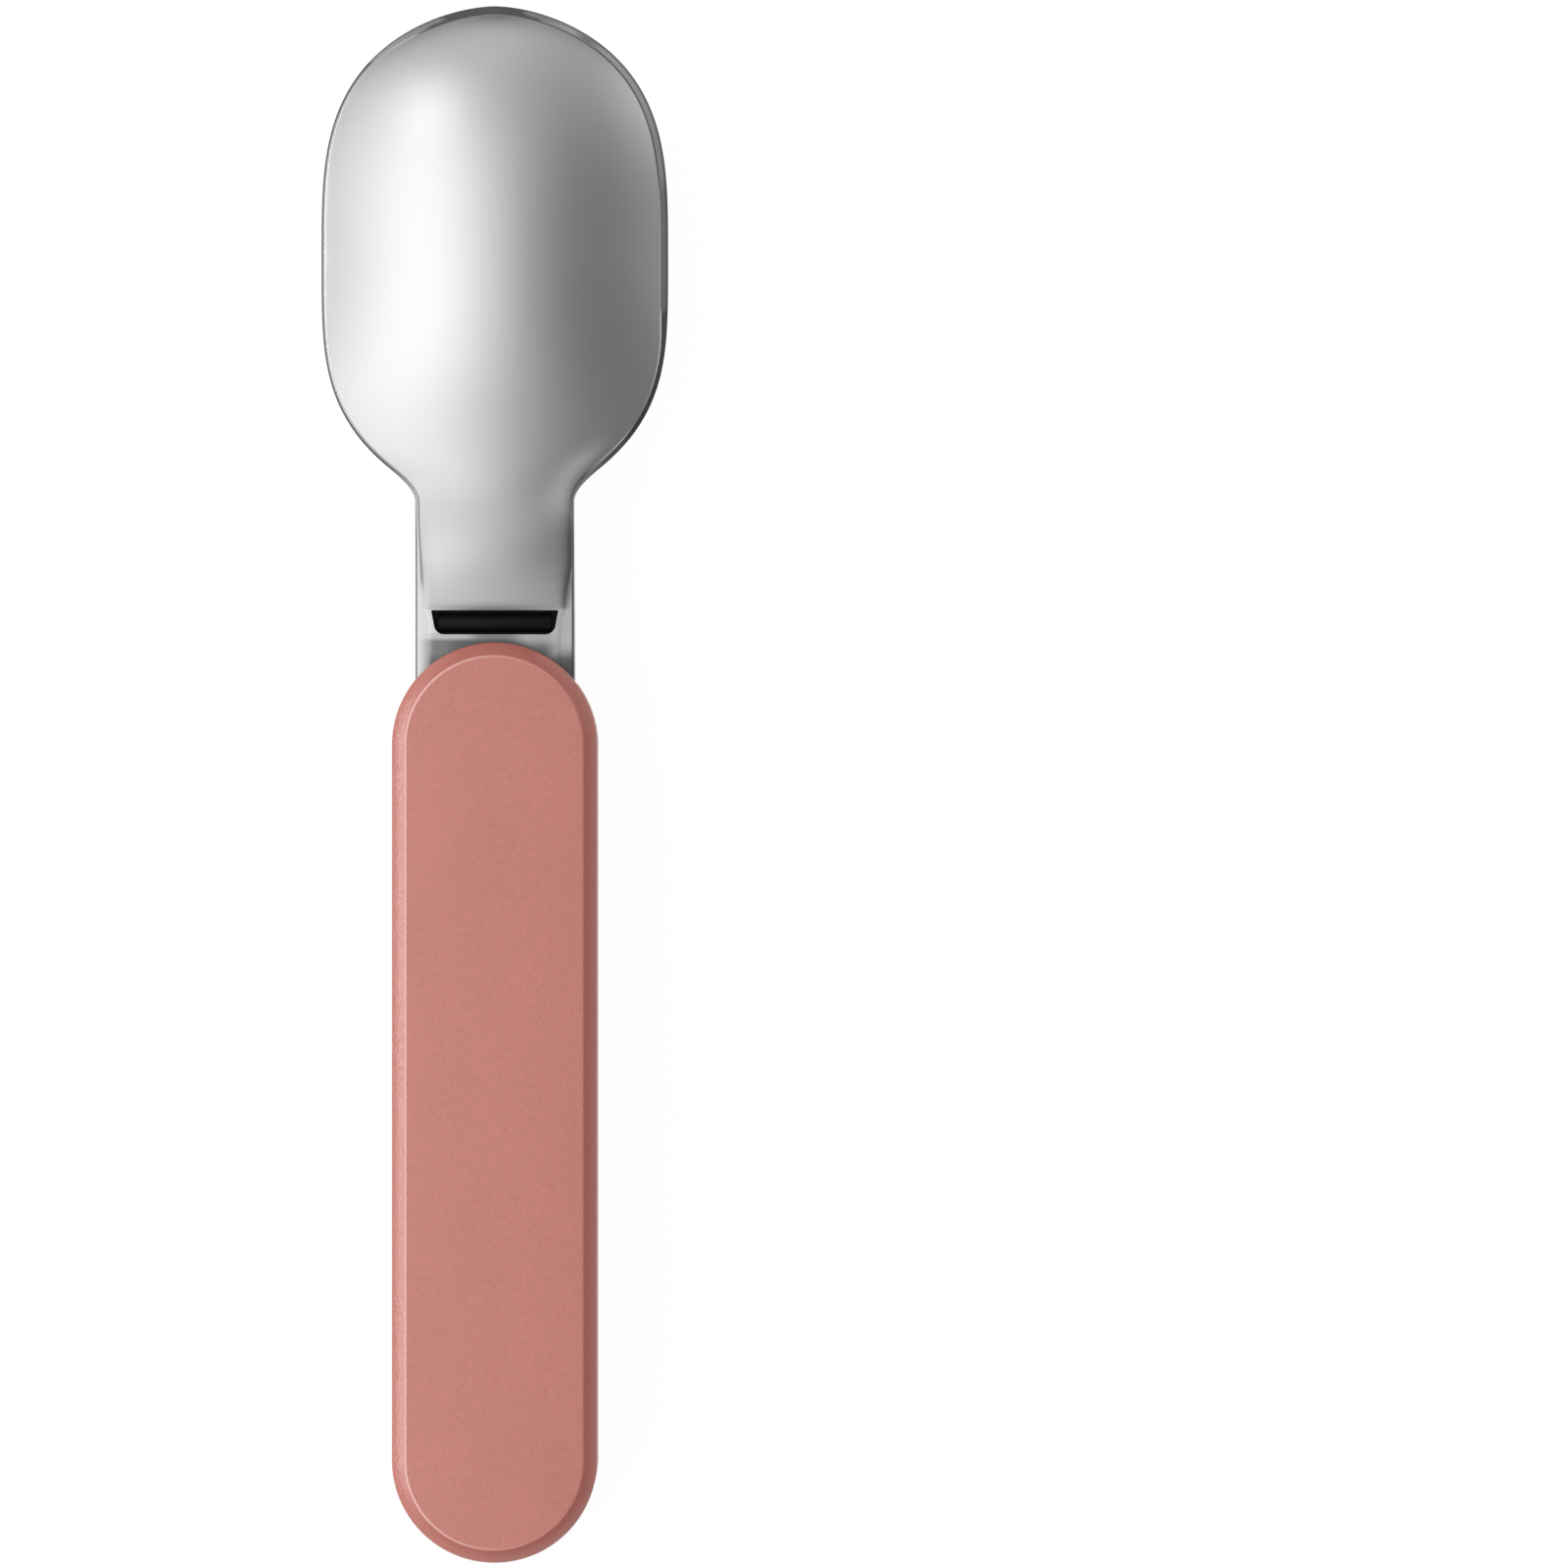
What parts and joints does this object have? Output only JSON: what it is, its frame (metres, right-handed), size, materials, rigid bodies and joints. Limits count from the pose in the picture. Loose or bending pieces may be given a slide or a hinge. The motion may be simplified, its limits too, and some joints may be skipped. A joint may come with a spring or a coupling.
{
  "type": "folding spoon",
  "caption": "Folding spoon: a polished steel bowl and neck that fold flat behind a rounded rose plastic handle",
  "frame": {"origin": "middle of the open spoon's footprint, on the plane of the handle's back face", "axes": "+Y points along the handle to the bowl's tip, +Z points out of the handle's outer face, on the side that the bowl bulges to, +X completes a right-handed frame"},
  "size_m": [0.0342, 0.154, 0.0137],
  "materials": {
    "polished_steel": "mirror-polished stainless sheet",
    "pin_steel": "ground stainless rod",
    "spring_steel": "rolled spring strip",
    "rose_plastic": "fine matte grain, moulded",
    "black_plastic": "glossy, moulded"
  },
  "bodies": {
    "handle": {"handle_cover": "rose_plastic", "handle_base": "rose_plastic", "hinge_pin": "pin_steel", "leaf_spring": "spring_steel"},
    "head": {"spoon_head": "polished_steel", "hinge_insert": "black_plastic"}
  },
  "joints": [
    {"name": "fold", "type": "hinge", "parent": "handle", "child": "head", "pos_m": [0, 0.00385, 0.0029], "axis": [-1, 0, 0], "range_deg": [0, 180]}
  ]
}
